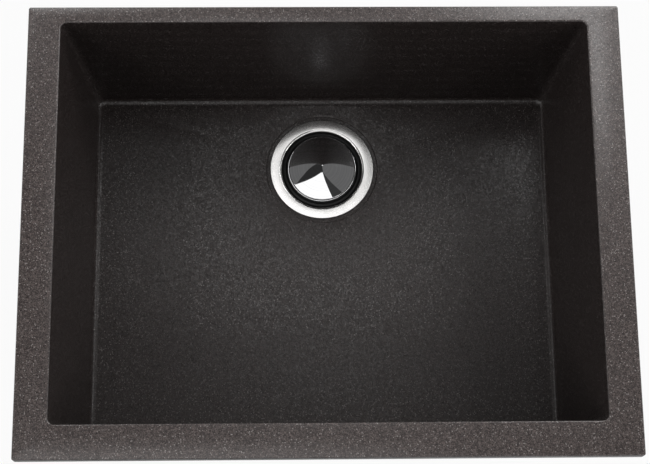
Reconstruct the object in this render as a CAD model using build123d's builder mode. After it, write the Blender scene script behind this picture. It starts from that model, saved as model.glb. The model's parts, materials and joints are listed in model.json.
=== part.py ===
from build123d import *
from math import asin, atan2, cos, degrees, radians, sin, sqrt, tan
import os

# Undermount kitchen sink moulded in granite composite, with its basket strainer. Millimetres.
# Origin: the middle of the rim's outer rectangle, on the rim's top face, which meets the worktop.
# +X runs to the right, +Y to the back, where the drain is, and +Z up.

# Rim and bowl
rim_length = 600.0  # left to right
rim_width = 460.0  # front to back
rim_thickness = 12.0
rim_corner_r = 3.0
rim_edge_r = 1.6
side_ledge = 33.0  # flat width of the rim, left and right
front_ledge = 34.0
back_ledge = 17.0
bowl_depth = 190.0  # rim to floor, at the walls
side_draft = 5.0  # degrees, left and right walls
end_draft = 4.0  # degrees, front and back walls
mouth_corner_r = 10.0
mouth_edge_r = 2.0
floor_fillet_r = 12.0
fall_corner_r = 2.0  # corner left in the floor inside that fillet
wall = 9.0
floor_wall = 9.0
ledge_fillet_r = 4.0  # under the rim, where the walls meet it

# Floor and drain
floor_fall = 2.5  # from the walls down to the drain
recess_depth = 1.5
recess_gap = 4.35  # flange's edge to the recess wall
recess_to_back = 7.7  # recess to the fillet under the back wall
hole_clearance = 0.6  # strainer's neck to the hole
hole_edge_r = 1.5
boss_margin = 2.5  # boss wider than the recess
boss_wall = 9.0  # casting left under the recess
boss_fillet_r = 2.0

# Brass inserts for the undermount brackets
insert_r = 4.5
insert_length = 8.0
insert_bore_r = 2.5  # core of an M6 thread
insert_bore_depth = 6.8
insert_chamfer = 0.5
side_insert_pitch = 240.0
front_insert_pitch = 360.0

# Strainer body, deep drawn from sheet
sheet = 0.9
neck_r = 43.5  # inside the lip
lip_bend_r = 4.0
flange_width = 9.65  # flat of the flange outside the lip
shelf_width = 2.0  # ledge in the neck that the seal rests on
shelf_bend_r = 1.2
thread_spare = 1.9  # thread left under the locknut
cup_taper = 3.5
cup_taper_height = 15.0
cup_foot_height = 5.0
cup_bend_r = 6.0
spigot_length = 21.0

# Clamping stack, above and below the floor
flange_gasket_thickness = 1.2
flange_gasket_inset = 1.0
ring_clearance = 0.3  # gasket and washer bores to the metal inside them
under_gasket_width = 14.3
under_gasket_thickness = 3.0
friction_ring_width = 12.3
friction_ring_thickness = 1.0
thread_clearance = 0.1
locknut_wall = 7.0
locknut_height = 12.0
locknut_flange_width = 4.0
locknut_flange_height = 3.0
lug_count = 6
lug_height = 7.5
lug_width = 12.0
lug_root = 4.0  # how far a lug is let into the nut
lug_fillet_r = 2.0

# Outlet
tail_r = 19.05  # outside of a 1-1/2 inch tube
tail_wall = 1.0
tail_length = 100.0
tail_flange_thickness = 1.2
tail_bend_r = 1.0
tail_seat_width = 3.55  # tube's outside to the spigot's inside
tail_washer_thickness = 2.5
slip_nut_wall = 3.4
slip_nut_height = 20.0
slip_nut_floor = 3.0
slip_nut_lug_count = 6
slip_nut_lug_r = 3.2
slip_nut_chamfer = 1.2

# Spider in the outlet
hub_wall = 3.0
hub_height = 14.0
hub_rise = 1.0  # hub's top above the spigot's
hub_chamfer = 0.8
arm_count = 4
arm_angle = 45.0
arm_width = 3.0
arm_height = 7.0
arm_drop = 4.5  # hub's top to the arms

# Cap, plate and seal
cap_inset = 5.8  # neck to the cap's edge
cap_sheet = 1.0
cap_rise = 0.3  # flange's top to the widest line of the cap's rolled edge
cap_roll_r = 2.7
cap_skirt = 1.1
cap_apex_slope = 9.5  # degrees
cap_edge_slope = 23.0  # degrees
weld_pad_reach = 5.0
weld_pad_thickness = 1.5
fit_clearance = 0.1  # between pieces that stay together
plate_inset = 3.5  # neck to the plate's edge, which the seal grips
plate_depth = 3.0  # flange's top to the plate's top
plate_thickness = 2.0
plate_ring_inset = 0.3  # cap to the ring under it
plate_ring_wall = 2.4
plate_hub_wall = 4.9
plate_hub_height = 4.0
plate_rib_count = 6
plate_rib_thickness = 1.6
seal_clearance = 0.2  # seal to the neck
seat_clearance = 0.1  # seal to the shelf
seal_grip = 1.6  # seal over the plate's edge
seal_cover = 0.7  # rubber above the plate
seal_foot = 1.3  # rubber below the plate
seal_bead_r = 2.0
seal_bead_height = 1.0  # above the rubber beside it
seal_chamfer = 0.6

# Basket
basket_gap = 4.0  # basket's rim to the cup
basket_mouth = 8.0  # plate to the basket's rim
basket_rim_width = 2.5
basket_taper = 4.0
basket_height = 24.0
basket_sheet = 0.8
basket_rim_bend_r = 1.2
basket_foot_bend_r = 5.0
hole_r = 1.7
hole_ring_count = 3
hole_inner_margin = 0.9  # washer to the first ring of holes
hole_outer_margin = 2.2  # last ring's middle to the foot's bend
first_ring_holes = 8
more_holes_per_ring = 6
slot_count = 20
slot_width = 3.0
slot_margin = 5.5  # slot's ends to the rim and foot

# Stem and its foot
stem_r = 3.0
spacer_wall = 2.4
cup_washer_width = 4.9
cup_washer_thickness = 1.2
stem_nut_wall = 1.9
stem_nut_height = 5.0
sleeve_clearance = 0.08  # sleeve on the stem, and in the hub
sleeve_wall = 2.84
end_clearance = 0.2  # sleeve to the nut above it and the clip below
sleeve_collar_reach = 1.58
sleeve_collar_height = 2.0
sleeve_overhang = 1.2  # sleeve below the hub
detent_wire = 1.1
detent_gap = 0.04  # O-ring to the hub's bore
clip_reach = 2.0
clip_thickness = 0.8
clip_groove = 0.6
clip_mouth = 3.6
stem_tip = 1.5
stem_chamfer = 0.6

tolerance = 0.01  # for picking edges by height or radius


def bowl_size(depth, grow=0.0):
    """Length and width of the drafted bowl at a depth, with each wall moved out by grow."""
    length = mouth_x - 2 * depth * tan(radians(side_draft)) + 2 * grow
    width = mouth_y - 2 * depth * tan(radians(end_draft)) + 2 * grow
    return length, width


# Radii about the drain
flange_r = neck_r + lip_bend_r + flange_width
cup_r = neck_r - shelf_width  # inside, below the shelf
cup_foot_r = cup_r - cup_taper
spigot_r = tail_r + tail_seat_width  # inside
recess_r = flange_r + recess_gap
drain_hole_r = neck_r + sheet + hole_clearance
boss_r = recess_r + boss_margin
stem_hole_r = stem_r + fit_clearance
hub_bore_r = stem_r + sleeve_wall + 2 * sleeve_clearance
cap_r = neck_r - cap_inset
plate_r = neck_r - plate_inset

# Places and levels
mouth_x = rim_length - 2 * side_ledge
mouth_y = rim_width - front_ledge - back_ledge
mouth_middle_y = (front_ledge - back_ledge) / 2
floor_corner_r = floor_fillet_r + fall_corner_r
floor_back_y = mouth_middle_y + bowl_size(bowl_depth, -floor_fillet_r)[1] / 2
drain_y = floor_back_y - recess_to_back - recess_r
land_z = -bowl_depth - floor_fall
seat_z = land_z - recess_depth
underside_z = -bowl_depth - floor_wall
boss_z = seat_z - boss_wall
flange_z = seat_z + flange_gasket_thickness + sheet  # top of the strainer's flange
insert_x = rim_length / 2 - (side_ledge - wall) / 2
insert_front_y = -rim_width / 2 + (front_ledge - wall) / 2
side_places = [(side * insert_x, end * side_insert_pitch / 2) for side in (-1, 1) for end in (-1, 1)]
front_places = [(side * front_insert_pitch / 2, insert_front_y) for side in (-1, 1)]
insert_places = side_places + front_places

# Depths under the flange's top
shelf_depth = plate_depth + plate_thickness + seal_foot + seat_clearance
under_gasket_top = flange_z - boss_z
friction_ring_top = under_gasket_top + under_gasket_thickness
locknut_top = friction_ring_top + friction_ring_thickness
thread_depth = locknut_top + locknut_height + thread_spare
cup_depth = thread_depth + cup_taper_height
spigot_top = cup_depth + cup_foot_height
spigot_end = spigot_top + spigot_length
tail_top = spigot_end + tail_washer_thickness
hub_top = spigot_top - hub_rise
basket_rim_top = plate_depth + plate_thickness + basket_mouth
basket_foot = basket_rim_top + basket_height
cup_washer_top = basket_foot + basket_sheet
stem_nut_top = cup_washer_top + cup_washer_thickness
sleeve_top = stem_nut_top + stem_nut_height + end_clearance
sleeve_foot = hub_top + hub_height + sleeve_overhang
clip_top = sleeve_foot + end_clearance
stem_end = clip_top + clip_thickness + stem_tip

drain_axis = Axis((0, drain_y, 0), (0, 0, 1))
# Upright half-plane through the drain: radius across, height above the flange's top up
section = Plane(origin=(0, drain_y, flange_z), x_dir=(1, 0, 0), z_dir=(0, -1, 0))


def bowl_plane(z):
    """The level z, centred on the bowl."""
    return Plane((0, mouth_middle_y, z))


def drain_plane(depth):
    """The level at a depth under the flange's top, centred on the drain."""
    return Plane((0, drain_y, flange_z - depth))


def at_level(z):
    """Picks the edges that lie at a height."""
    return lambda edge: abs(edge.center().Z - z) < tolerance


def of_radius(radius):
    """Picks the round edges of a radius."""
    return lambda edge: abs(edge.radius - radius) < tolerance


def ring(outer, inner, top, thickness):
    """A flat ring round the drain's axis, its top at a depth under the flange's."""
    with BuildPart() as flat_ring:
        with BuildSketch(drain_plane(top + thickness)):
            Circle(outer)
            Circle(inner, mode=Mode.SUBTRACT)
        extrude(amount=thickness)
    return flat_ring


def pressed(points, bends, thickness):
    """Sheet turned about the drain: its upper line with bends, and the thickness below it."""
    with BuildPart() as shell:
        with BuildSketch(section):
            with BuildLine():
                FilletPolyline(*points, radius=bends)
                offset(amount=thickness, side=Side.LEFT)
            make_face()
        revolve(axis=drain_axis)
    return shell


def turned(points):
    """A solid turned about the drain from a closed outline of radii and heights."""
    with BuildPart() as solid:
        with BuildSketch(section):
            with BuildLine():
                Polyline(*points, close=True)
            make_face()
        revolve(axis=drain_axis)
    return solid


def save(solid, name):
    """Label a finished piece and write it."""
    solid.part.label = name
    export_step(solid.part, f"parts/{name}.step")


os.makedirs("parts", exist_ok=True)

# Space inside the bowl: drafted walls, and a fillet all round the floor
with BuildPart() as bowl_space:
    with BuildSketch(bowl_plane(0)):
        RectangleRounded(*bowl_size(0), mouth_corner_r)
    with BuildSketch(bowl_plane(-bowl_depth)):
        RectangleRounded(*bowl_size(bowl_depth), floor_corner_r)
    loft(ruled=True)
    fillet(bowl_space.faces().sort_by(Axis.Z)[0].edges(), floor_fillet_r)

# Shallow space under the floor's level, which falls from the walls to the drain's recess.
# The circle has as many arcs as the rectangle has sides and corners, so that the two match.
with BuildPart() as fall_space:
    with BuildSketch(bowl_plane(-bowl_depth)) as fall_top:
        RectangleRounded(*bowl_size(bowl_depth, -floor_fillet_r), fall_corner_r)
    corners = fall_top.sketch.faces()[0].outer_wire().vertices()
    angles = sorted(degrees(atan2(corner.Y - drain_y, corner.X)) for corner in corners)
    with BuildSketch(drain_plane(flange_z - land_z)):
        with BuildLine():
            for start, end in zip(angles, angles[1:] + [angles[0] + 360]):
                CenterArc((0, 0), recess_r, start, end - start)
        make_face()
    loft(ruled=True)

# Casting: rim slab, drafted outside, boss under the drain, then the space inside and the drain's seat
with BuildPart() as sink_bowl:
    with BuildSketch():
        RectangleRounded(rim_length, rim_width, rim_corner_r)
    extrude(amount=-rim_thickness)
    with BuildSketch(bowl_plane(-rim_thickness)):
        RectangleRounded(*bowl_size(rim_thickness, wall), mouth_corner_r + wall)
    with BuildSketch(bowl_plane(underside_z)):
        RectangleRounded(*bowl_size(-underside_z, wall), floor_corner_r + wall)
    loft(ruled=True)
    fillet(sink_bowl.faces().sort_by(Axis.Z)[0].edges(), floor_fillet_r + floor_wall / 2)
    under_rim = sink_bowl.faces().filter_by(Axis.Z).sort_by(Axis.Z)[-2]
    fillet(under_rim.inner_wires()[0].edges(), ledge_fillet_r)
    with BuildSketch(drain_plane(under_gasket_top)):
        Circle(boss_r)
    extrude(amount=boss_wall)
    underside_edges = sink_bowl.edges().filter_by(GeomType.CIRCLE).filter_by(at_level(underside_z))
    fillet(underside_edges.filter_by(of_radius(boss_r)), boss_fillet_r)
    add(bowl_space.part, mode=Mode.SUBTRACT)
    add(fall_space.part, mode=Mode.SUBTRACT)
    with BuildSketch(drain_plane(flange_z - seat_z)):
        Circle(recess_r)
    extrude(amount=recess_depth, mode=Mode.SUBTRACT)
    with BuildSketch(drain_plane(under_gasket_top)):
        Circle(drain_hole_r)
    extrude(amount=boss_wall, mode=Mode.SUBTRACT)
    seat_edges = sink_bowl.edges().filter_by(GeomType.CIRCLE).filter_by(at_level(seat_z))
    fillet(seat_edges.filter_by(of_radius(drain_hole_r)), hole_edge_r)
    fillet(sink_bowl.faces().sort_by(Axis.Z)[-1].inner_wires()[0].edges(), mouth_edge_r)
    fillet(sink_bowl.faces().sort_by(Axis.Z)[-1].outer_wire().edges(), rim_edge_r)
    with BuildSketch(Plane.XY.offset(-rim_thickness)):
        with Locations(*insert_places):
            Circle(insert_r)
    extrude(amount=insert_length, mode=Mode.SUBTRACT)
save(sink_bowl, "sink_bowl")

# Six threaded inserts, flush with the rim's underside
with BuildPart() as rim_inserts:
    with BuildSketch(Plane.XY.offset(-rim_thickness)):
        with Locations(*insert_places):
            Circle(insert_r)
    extrude(amount=insert_length)
    with BuildSketch(Plane.XY.offset(-rim_thickness)):
        with Locations(*insert_places):
            Circle(insert_bore_r)
    extrude(amount=insert_bore_depth, mode=Mode.SUBTRACT)
    foot_edges = rim_inserts.edges().filter_by(GeomType.CIRCLE).filter_by(at_level(-rim_thickness))
    chamfer(foot_edges.filter_by(of_radius(insert_bore_r)), insert_chamfer)
save(rim_inserts, "rim_inserts")

# Strainer body: flange, rounded lip, neck, shelf for the seal, threaded cup and outlet spigot
body_line = (
    (flange_r, 0),
    (neck_r, 0),
    (neck_r, -shelf_depth),
    (cup_r, -shelf_depth),
    (cup_r, -thread_depth),
    (cup_foot_r, -cup_depth),
    (spigot_r, -spigot_top),
    (spigot_r, -spigot_end),
)
body_bends = [lip_bend_r, shelf_bend_r / 2, shelf_bend_r, cup_bend_r, cup_bend_r, cup_bend_r]
save(pressed(body_line, body_bends, sheet), "strainer_body")

# Gaskets and slip ring
seat_ring_r = neck_r + lip_bend_r + ring_clearance
neck_ring_r = cup_r + sheet + ring_clearance
flange_gasket_r = flange_r - flange_gasket_inset
under_gasket_r = neck_ring_r + under_gasket_width
friction_ring_r = neck_ring_r + friction_ring_width
save(ring(flange_gasket_r, seat_ring_r, sheet, flange_gasket_thickness), "flange_gasket")
save(ring(under_gasket_r, neck_ring_r, under_gasket_top, under_gasket_thickness), "under_gasket")
save(ring(friction_ring_r, neck_ring_r, friction_ring_top, friction_ring_thickness), "friction_ring")

# Large nut, with a flange against the slip ring and lugs to turn it by
locknut_bore_r = cup_r + sheet + thread_clearance
locknut_r = locknut_bore_r + locknut_wall
with BuildPart() as locknut:
    with BuildSketch(drain_plane(locknut_top + locknut_height)):
        Circle(locknut_r)
        with PolarLocations(locknut_r + (lug_height - lug_root) / 2, lug_count):
            Rectangle(lug_height + lug_root, lug_width)
    extrude(amount=locknut_height)
    fillet(locknut.edges().filter_by(Axis.Z), lug_fillet_r)
    with BuildSketch(drain_plane(locknut_top + locknut_flange_height)):
        Circle(locknut_r + locknut_flange_width)
    extrude(amount=locknut_flange_height)
    with BuildSketch(drain_plane(locknut_top + locknut_height)):
        Circle(locknut_bore_r)
    extrude(amount=locknut_height, mode=Mode.SUBTRACT)
save(locknut, "locknut")

# Spider inside the spigot: a hub on four arms that reach the wall
arm_plane = drain_plane(hub_top + arm_drop + arm_height)
with BuildPart() as hub_cross:
    with BuildSketch(arm_plane):
        with PolarLocations(spigot_r / 2, arm_count, start_angle=arm_angle):
            Rectangle(spigot_r, arm_width)
    extrude(amount=arm_height)
    with BuildSketch(arm_plane):
        Circle(spigot_r)
    extrude(amount=arm_height, mode=Mode.INTERSECT)
    with BuildSketch(drain_plane(hub_top + hub_height)):
        Circle(hub_bore_r + hub_wall)
    extrude(amount=hub_height)
    chamfer(hub_cross.edges().filter_by(GeomType.CIRCLE).group_by(Axis.Z)[-1], hub_chamfer)
    with BuildSketch(drain_plane(hub_top + hub_height)):
        Circle(hub_bore_r)
    extrude(amount=hub_height, mode=Mode.SUBTRACT)
save(hub_cross, "hub_cross")

# Outlet: washer, flanged tube and slip nut
washer_bore_r = tail_r - tail_wall + ring_clearance
save(ring(spigot_r + sheet, washer_bore_r, spigot_end, tail_washer_thickness), "tailpiece_washer")

with BuildPart() as tailpiece:
    with BuildSketch(drain_plane(tail_top + tail_length)):
        Circle(tail_r)
    extrude(amount=tail_length)
    with BuildSketch(drain_plane(tail_top + tail_flange_thickness)):
        Circle(spigot_r + sheet - ring_clearance)
    extrude(amount=tail_flange_thickness)
    flange_foot_z = flange_z - tail_top - tail_flange_thickness
    foot_edges = tailpiece.edges().filter_by(GeomType.CIRCLE).filter_by(at_level(flange_foot_z))
    fillet(foot_edges.filter_by(of_radius(tail_r)), tail_bend_r)
    with BuildSketch(drain_plane(tail_top + tail_length)):
        Circle(tail_r - tail_wall)
    extrude(amount=tail_length, mode=Mode.SUBTRACT)
save(tailpiece, "tailpiece")

slip_nut_bore_r = spigot_r + sheet + thread_clearance
slip_nut_r = slip_nut_bore_r + slip_nut_wall
slip_nut_foot = tail_top + tail_flange_thickness + slip_nut_floor
with BuildPart() as coupling_nut:
    with BuildSketch(drain_plane(slip_nut_foot)):
        Circle(slip_nut_r)
        with PolarLocations(slip_nut_r, slip_nut_lug_count):
            Circle(slip_nut_lug_r)
    extrude(amount=slip_nut_height)
    chamfer(coupling_nut.faces().sort_by(Axis.Z)[0].edges(), slip_nut_chamfer)
    with BuildSketch(drain_plane(tail_top + tail_flange_thickness)):
        Circle(slip_nut_bore_r)
    extrude(amount=slip_nut_height, mode=Mode.SUBTRACT)
    with BuildSketch(drain_plane(slip_nut_foot)):
        Circle(tail_r + tail_bend_r + ring_clearance)
    extrude(amount=slip_nut_floor, mode=Mode.SUBTRACT)
save(coupling_nut, "coupling_nut")

# Cap: a shallow pointed dome whose edge rolls over into a short skirt, with a flat inside for the stem.
# The dome's arc has its centre past the axis, which gives the slope at the apex.
roll_middle_r = cap_r - cap_roll_r
apex_angle = radians(cap_apex_slope)
edge_angle = radians(cap_edge_slope)
dome_r = (roll_middle_r + cap_roll_r * sin(edge_angle)) / (sin(edge_angle) - sin(apex_angle))
dome_x = -dome_r * sin(apex_angle)
dome_z = cap_rise + (cap_roll_r - dome_r) * cos(edge_angle)
inner_dome_r = dome_r - cap_sheet
pad_r = stem_r + weld_pad_reach
pad_edge_r = pad_r + fit_clearance
pad_z = dome_z + sqrt(inner_dome_r**2 - (pad_edge_r - dome_x) ** 2)
pad_angle = degrees(atan2(pad_z - dome_z, pad_edge_r - dome_x))
edge_turn = cap_edge_slope - cap_apex_slope
skirt_z = cap_rise - cap_skirt
skirt_inner_r = cap_r - cap_sheet
with BuildPart() as stopper_cap:
    with BuildSketch(section):
        with BuildLine():
            CenterArc((dome_x, dome_z), dome_r, 90 - cap_apex_slope, -edge_turn)
            CenterArc((roll_middle_r, cap_rise), cap_roll_r, 90 - cap_edge_slope, cap_edge_slope - 90)
            Line((cap_r, cap_rise), (cap_r, skirt_z))
            Line((cap_r, skirt_z), (skirt_inner_r, skirt_z))
            Line((skirt_inner_r, skirt_z), (skirt_inner_r, cap_rise))
            CenterArc((roll_middle_r, cap_rise), cap_roll_r - cap_sheet, 0, 90 - cap_edge_slope)
            CenterArc((dome_x, dome_z), inner_dome_r, 90 - cap_edge_slope, pad_angle - 90 + cap_edge_slope)
            Line((pad_edge_r, pad_z), (0, pad_z))
            Line((0, pad_z), (0, dome_z + dome_r * cos(apex_angle)))
        make_face()
    revolve(axis=drain_axis)
save(stopper_cap, "stopper_cap")

# Plate under the cap: a disc that grips the seal, a ring that carries the cap, a hub and ribs
plate_foot_z = -plate_depth - plate_thickness
plate_hub_r = stem_hole_r + plate_hub_wall
ring_outer_r = skirt_inner_r - fit_clearance
ring_inner_r = ring_outer_r - plate_ring_wall
plate_line = (
    (stem_hole_r, plate_foot_z),
    (plate_r, plate_foot_z),
    (plate_r, -plate_depth),
    (cap_r - plate_ring_inset, -plate_depth),
    (cap_r - plate_ring_inset, skirt_z),
    (ring_outer_r, skirt_z),
    (ring_outer_r, cap_rise),
    (ring_inner_r, cap_rise),
    (ring_inner_r, -plate_depth),
    (plate_hub_r, -plate_depth),
    (plate_hub_r, plate_hub_height - plate_depth),
    (stem_hole_r, plate_hub_height - plate_depth),
)
with BuildPart() as seal_plate:
    add(turned(plate_line).part)
    with BuildSketch(drain_plane(plate_depth)):
        with PolarLocations((plate_hub_r + ring_inner_r) / 2, plate_rib_count):
            Rectangle(ring_inner_r - plate_hub_r + plate_ring_wall, plate_rib_thickness)
    extrude(amount=plate_depth + cap_rise)
save(seal_plate, "seal_plate")

# Seal: a rubber ring gripped round the plate's edge, with a rounded bead that ends at its outer wall
seal_r = neck_r - seal_clearance
seal_inner_r = plate_r - seal_grip
seal_top_z = seal_cover - plate_depth
seal_foot_z = plate_foot_z - seal_foot
bead_rise = seal_bead_r - seal_bead_height
bead_x = seal_r - seal_bead_r
bead_z = seal_top_z - bead_rise
bead_start = (bead_x - sqrt(seal_bead_r**2 - bead_rise**2), seal_top_z)
with BuildPart() as stopper_seal:
    with BuildSketch(section):
        with BuildLine():
            Line(bead_start, (seal_inner_r, seal_top_z))
            Line((seal_inner_r, seal_top_z), (seal_inner_r, -plate_depth))
            Line((seal_inner_r, -plate_depth), (plate_r, -plate_depth))
            Line((plate_r, -plate_depth), (plate_r, plate_foot_z))
            Line((plate_r, plate_foot_z), (seal_inner_r, plate_foot_z))
            Line((seal_inner_r, plate_foot_z), (seal_inner_r, seal_foot_z))
            Line((seal_inner_r, seal_foot_z), (seal_r - seal_chamfer, seal_foot_z))
            Line((seal_r - seal_chamfer, seal_foot_z), (seal_r, seal_foot_z + seal_chamfer))
            Line((seal_r, seal_foot_z + seal_chamfer), (seal_r, bead_z))
            CenterArc((bead_x, bead_z), seal_bead_r, 0, 180 - degrees(asin(bead_rise / seal_bead_r)))
        make_face()
    revolve(axis=drain_axis)
save(stopper_seal, "stopper_seal")

# Basket: rings of holes in its foot and upright slots in its wall
basket_rim_r = cup_r - basket_gap
basket_top_r = basket_rim_r - basket_rim_width
basket_foot_r = basket_top_r - basket_taper
cup_washer_r = stem_hole_r + cup_washer_width
first_ring_r = cup_washer_r + hole_inner_margin + hole_r
last_ring_r = basket_foot_r - basket_foot_bend_r - hole_outer_margin
ring_pitch = (last_ring_r - first_ring_r) / (hole_ring_count - 1)
slot_length = basket_height - 2 * slot_margin
slot_origin = (0, drain_y, flange_z - (basket_rim_top + basket_foot) / 2)
basket_line = (
    (basket_rim_r, -basket_rim_top),
    (basket_top_r, -basket_rim_top),
    (basket_foot_r, -basket_foot),
    (stem_hole_r, -basket_foot),
)
with BuildPart() as slot_tool:
    with BuildSketch(Plane(origin=slot_origin, x_dir=(0, 0, 1), z_dir=(1, 0, 0))):
        SlotOverall(slot_length, slot_width)
    extrude(amount=basket_rim_r)
with BuildPart() as basket_cup:
    add(pressed(basket_line, [basket_rim_bend_r, basket_foot_bend_r], basket_sheet).part)
    with BuildSketch(drain_plane(cup_washer_top)):
        for row in range(hole_ring_count):
            holes = first_ring_holes + row * more_holes_per_ring
            with PolarLocations(first_ring_r + row * ring_pitch, holes):
                Circle(hole_r)
    extrude(amount=basket_sheet, mode=Mode.SUBTRACT)
    for turn in range(slot_count):
        add(slot_tool.part.rotate(drain_axis, turn * 360 / slot_count), mode=Mode.SUBTRACT)
save(basket_cup, "basket_cup")

# Stem: a weld pad under the cap's flat, a groove for the clip and a chamfered tip
groove_r = stem_r - clip_groove
stem_line = (
    (0, pad_z),
    (pad_r, pad_z),
    (pad_r, pad_z - weld_pad_thickness),
    (stem_r, pad_z - weld_pad_thickness),
    (stem_r, -clip_top),
    (groove_r, -clip_top),
    (groove_r, -clip_top - clip_thickness),
    (stem_r, -clip_top - clip_thickness),
    (stem_r, -stem_end + stem_chamfer),
    (stem_r - stem_chamfer, -stem_end),
    (0, -stem_end),
)
save(turned(stem_line), "stem")

# What is threaded on the stem: spacer, washer and nut
spacer_top = plate_depth + plate_thickness
save(ring(stem_hole_r + spacer_wall, stem_hole_r, spacer_top, basket_foot - spacer_top), "spacer_tube")
save(ring(cup_washer_r, stem_hole_r, cup_washer_top, cup_washer_thickness), "cup_washer")

with BuildPart() as stem_nut:
    with BuildSketch(drain_plane(stem_nut_top + stem_nut_height)):
        RegularPolygon(stem_hole_r + stem_nut_wall, 6, major_radius=False)
        Circle(stem_hole_r, mode=Mode.SUBTRACT)
    extrude(amount=stem_nut_height)
save(stem_nut, "stem_nut")

# Sleeve that slides in the hub, with a groove for its O-ring
shank_r = hub_bore_r - sleeve_clearance
sleeve_bore_r = stem_r + sleeve_clearance
collar_foot = sleeve_top + sleeve_collar_height
detent_middle_r = hub_bore_r - detent_gap - detent_wire / 2
detent_depth = hub_top + hub_height / 2
detent_top_z = -detent_depth + detent_wire / 2
detent_foot_z = -detent_depth - detent_wire / 2
detent_groove_r = detent_middle_r - detent_wire / 2
sleeve_line = (
    (sleeve_bore_r, -sleeve_top),
    (shank_r + sleeve_collar_reach, -sleeve_top),
    (shank_r + sleeve_collar_reach, -collar_foot),
    (shank_r, -collar_foot),
    (shank_r, detent_top_z),
    (detent_groove_r, detent_top_z),
    (detent_groove_r, detent_foot_z),
    (shank_r, detent_foot_z),
    (shank_r, -sleeve_foot),
    (sleeve_bore_r, -sleeve_foot),
)
save(turned(sleeve_line), "detent_sleeve")

with BuildPart() as detent_ring:
    with BuildSketch(section):
        with Locations((detent_middle_r, -detent_depth)):
            Circle(detent_wire / 2)
    revolve(axis=drain_axis)
save(detent_ring, "detent_ring")

# Clip in the stem's groove, open at the front so that it can be pushed on
clip_r = stem_r + clip_reach
with BuildPart() as retaining_clip:
    with BuildSketch(drain_plane(clip_top + clip_thickness)):
        Circle(clip_r)
        Circle(groove_r, mode=Mode.SUBTRACT)
        with Locations((0, -clip_r)):
            Rectangle(clip_mouth, 2 * clip_r, mode=Mode.SUBTRACT)
    extrude(amount=clip_thickness)
save(retaining_clip, "retaining_clip")
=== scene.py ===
import bmesh
import bpy
import json
from math import atan2, cos, pi, radians, sin, sqrt, tan
import numpy as np
from mathutils import Matrix, Vector


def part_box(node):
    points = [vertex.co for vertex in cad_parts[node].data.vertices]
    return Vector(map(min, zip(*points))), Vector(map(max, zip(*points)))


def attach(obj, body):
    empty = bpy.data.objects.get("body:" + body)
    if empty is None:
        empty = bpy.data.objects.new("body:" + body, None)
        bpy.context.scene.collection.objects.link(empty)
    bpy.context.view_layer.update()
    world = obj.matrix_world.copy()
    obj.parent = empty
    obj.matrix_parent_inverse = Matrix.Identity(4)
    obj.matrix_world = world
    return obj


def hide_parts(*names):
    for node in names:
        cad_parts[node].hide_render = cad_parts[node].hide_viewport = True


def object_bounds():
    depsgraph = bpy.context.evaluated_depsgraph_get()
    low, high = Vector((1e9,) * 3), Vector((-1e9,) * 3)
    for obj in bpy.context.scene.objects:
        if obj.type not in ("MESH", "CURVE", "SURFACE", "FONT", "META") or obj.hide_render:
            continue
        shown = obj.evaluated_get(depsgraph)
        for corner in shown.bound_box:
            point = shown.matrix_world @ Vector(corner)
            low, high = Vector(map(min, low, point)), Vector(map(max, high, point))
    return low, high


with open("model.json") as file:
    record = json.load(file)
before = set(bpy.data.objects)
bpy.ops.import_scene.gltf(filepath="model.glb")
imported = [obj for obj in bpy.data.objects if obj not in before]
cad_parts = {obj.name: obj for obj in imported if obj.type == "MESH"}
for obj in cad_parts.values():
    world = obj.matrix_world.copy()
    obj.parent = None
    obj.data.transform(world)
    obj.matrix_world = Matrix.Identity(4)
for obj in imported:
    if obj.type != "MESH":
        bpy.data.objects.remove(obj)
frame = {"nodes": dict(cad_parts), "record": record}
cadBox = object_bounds()
nodes = frame["nodes"]
print("frame:", len(nodes), "nodes")

# Undermount granite-composite sink with its basket strainer. Outlines are in millimetres, meshes in metres.
# A strainer outline's points are a radius from the drain's axis and a height above the flange's top.
mm = 0.001
drainY = sum(corner.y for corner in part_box("tailpiece")) / 2 / mm
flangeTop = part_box("strainer_body")[1].z / mm
weldGap = 1e-6  # metres, within which points of a mesh are merged
wallGap = 0.02  # millimetres, within which a point is on a wall
sharpAngle = 32  # degrees between two faces, past which their edge is drawn sharp


def unit(vector):
    return vector / np.linalg.norm(vector)


# Points of an arc: its middle, plus the radius times the sine and cosine of angles measured from straight up.
def arcPoints(middleX, middleZ, radius, angles):
    return np.stack([middleX + radius * np.sin(angles), middleZ + radius * np.cos(angles)], axis=1)


# A line through corners, each inner one rounded to its bend. The arc begins and ends the bend's radius times
# the tangent of half the turn away from its corner, and its points are evenly turned about the arc's centre.
def bentLine(corners, bends, arcSteps):
    corners = np.array(corners, float)
    line = [corners[:1]]
    for before, corner, after, radius in zip(corners, corners[1:], corners[2:], bends):
        along, onward = unit(corner - before), unit(after - corner)
        turn = atan2(along[0] * onward[1] - along[1] * onward[0], along @ onward)
        start = corner - along * radius * tan(abs(turn) / 2)
        centre = start + np.array([-along[1], along[0]]) * np.sign(turn) * radius
        angles = np.linspace(0, turn, arcSteps + 1 if radius > 0 else 1)
        arm = start - centre
        across = arm[0] * np.cos(angles) - arm[1] * np.sin(angles)
        up = arm[0] * np.sin(angles) + arm[1] * np.cos(angles)
        line.append(centre + np.stack([across, up], axis=1))
    line.append(corners[-1:])
    return np.concatenate(line)


# The same for a closed outline, where every corner has a bend.
def roundedOutline(corners, bends, arcSteps=5):
    loop = np.concatenate([corners[-1:], corners, corners[:1]])
    return bentLine(loop, np.broadcast_to(bends, len(corners)), arcSteps)[1:-1]


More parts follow.
